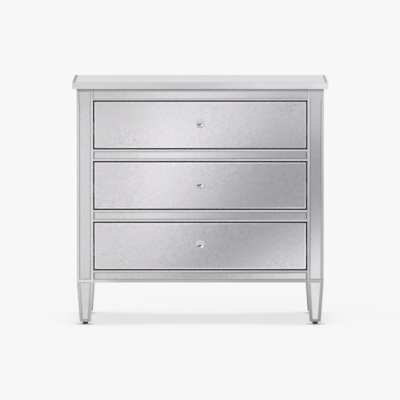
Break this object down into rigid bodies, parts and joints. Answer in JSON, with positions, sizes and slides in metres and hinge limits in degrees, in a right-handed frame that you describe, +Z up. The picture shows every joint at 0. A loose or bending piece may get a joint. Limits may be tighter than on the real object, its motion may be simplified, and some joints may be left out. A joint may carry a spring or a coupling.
{
  "type": "chest of drawers",
  "caption": "Straight-fronted chest of drawers faced with aged mirror glass in a silvered frame, with clear ball knobs, slide-mounted drawers and tapered legs.",
  "frame": {"origin": "on the floor, under the middle of the overall box with the knobs", "axes": "+X to the right seen from the front, +Y to the back, +Z up; the drawers open towards -Y"},
  "size_m": [0.914, 0.4788, 0.8686],
  "materials": {
    "silvered_wood": "silver leaf, lightly aged",
    "aged_mirror": "aged mirror glass, clouded",
    "back_board": "grey painted hardboard",
    "frame_wood": "plain planed softwood",
    "drawer_wood": "clear lacquer",
    "drawer_ply": "lacquered plywood",
    "slide_steel": "zinc plated",
    "screw_steel": "zinc plated",
    "knob_glass": "clear polished glass",
    "knob_metal": "polished nickel plate",
    "glide_black": "moulded, satin"
  },
  "bodies": {
    "carcass": {"front_leg_left": "silvered_wood", "front_leg_right": "silvered_wood", "rear_leg_left": "silvered_wood", "rear_leg_right": "silvered_wood", "stile_mirrors": "aged_mirror", "leg_mirrors": "aged_mirror", "foot_glides": "glide_black", "bottom_rail": "silvered_wood", "lower_rail": "silvered_wood", "upper_rail": "silvered_wood", "top_rail": "silvered_wood", "rail_mirrors": "aged_mirror", "back_rails": "frame_wood", "back_panel": "back_board", "side_panel_left": "silvered_wood", "side_panel_right": "silvered_wood", "side_mirrors_left": "aged_mirror", "side_mirrors_right": "aged_mirror", "top_board": "silvered_wood", "top_mirror": "aged_mirror", "top_cleats": "frame_wood", "top_screws": "screw_steel", "slide_packers": "frame_wood", "slide_cabinet_members": "slide_steel"},
    "lower_drawer": {"lower_drawer_front": "silvered_wood", "lower_drawer_mirror": "aged_mirror", "lower_drawer_knob": "knob_glass", "lower_drawer_knob_base": "knob_metal", "lower_drawer_screws": "screw_steel", "lower_drawer_bottom": "drawer_ply", "lower_drawer_box_front": "drawer_wood", "lower_drawer_box_back": "drawer_wood", "lower_drawer_side_left": "drawer_wood", "lower_drawer_side_right": "drawer_wood", "lower_drawer_runners": "slide_steel"},
    "lower_slides": {"lower_slide_middles": "slide_steel"},
    "middle_drawer": {"middle_drawer_front": "silvered_wood", "middle_drawer_mirror": "aged_mirror", "middle_drawer_knob": "knob_glass", "middle_drawer_knob_base": "knob_metal", "middle_drawer_screws": "screw_steel", "middle_drawer_bottom": "drawer_ply", "middle_drawer_box_front": "drawer_wood", "middle_drawer_box_back": "drawer_wood", "middle_drawer_side_left": "drawer_wood", "middle_drawer_side_right": "drawer_wood", "middle_drawer_runners": "slide_steel"},
    "middle_slides": {"middle_slide_middles": "slide_steel"},
    "upper_drawer": {"upper_drawer_front": "silvered_wood", "upper_drawer_mirror": "aged_mirror", "upper_drawer_knob": "knob_glass", "upper_drawer_knob_base": "knob_metal", "upper_drawer_screws": "screw_steel", "upper_drawer_bottom": "drawer_ply", "upper_drawer_box_front": "drawer_wood", "upper_drawer_box_back": "drawer_wood", "upper_drawer_side_left": "drawer_wood", "upper_drawer_side_right": "drawer_wood", "upper_drawer_runners": "slide_steel"},
    "upper_slides": {"upper_slide_middles": "slide_steel"}
  },
  "joints": [
    {"name": "lower_drawer_slide", "type": "slide", "parent": "carcass", "child": "lower_drawer", "axis": [0, -1, 0], "range_m": [0, 0.34]},
    {"name": "lower_slide_travel", "type": "slide", "parent": "carcass", "child": "lower_slides", "axis": [0, -1, 0], "range_m": [0, 0.17]},
    {"name": "middle_drawer_slide", "type": "slide", "parent": "carcass", "child": "middle_drawer", "axis": [0, -1, 0], "range_m": [0, 0.34]},
    {"name": "middle_slide_travel", "type": "slide", "parent": "carcass", "child": "middle_slides", "axis": [0, -1, 0], "range_m": [0, 0.17]},
    {"name": "upper_drawer_slide", "type": "slide", "parent": "carcass", "child": "upper_drawer", "axis": [0, -1, 0], "range_m": [0, 0.34]},
    {"name": "upper_slide_travel", "type": "slide", "parent": "carcass", "child": "upper_slides", "axis": [0, -1, 0], "range_m": [0, 0.17]}
  ],
  "couplings": [
    {"joint": "lower_slide_travel", "follows": "lower_drawer_slide", "ratio": 0.5},
    {"joint": "middle_slide_travel", "follows": "middle_drawer_slide", "ratio": 0.5},
    {"joint": "upper_slide_travel", "follows": "upper_drawer_slide", "ratio": 0.5}
  ]
}
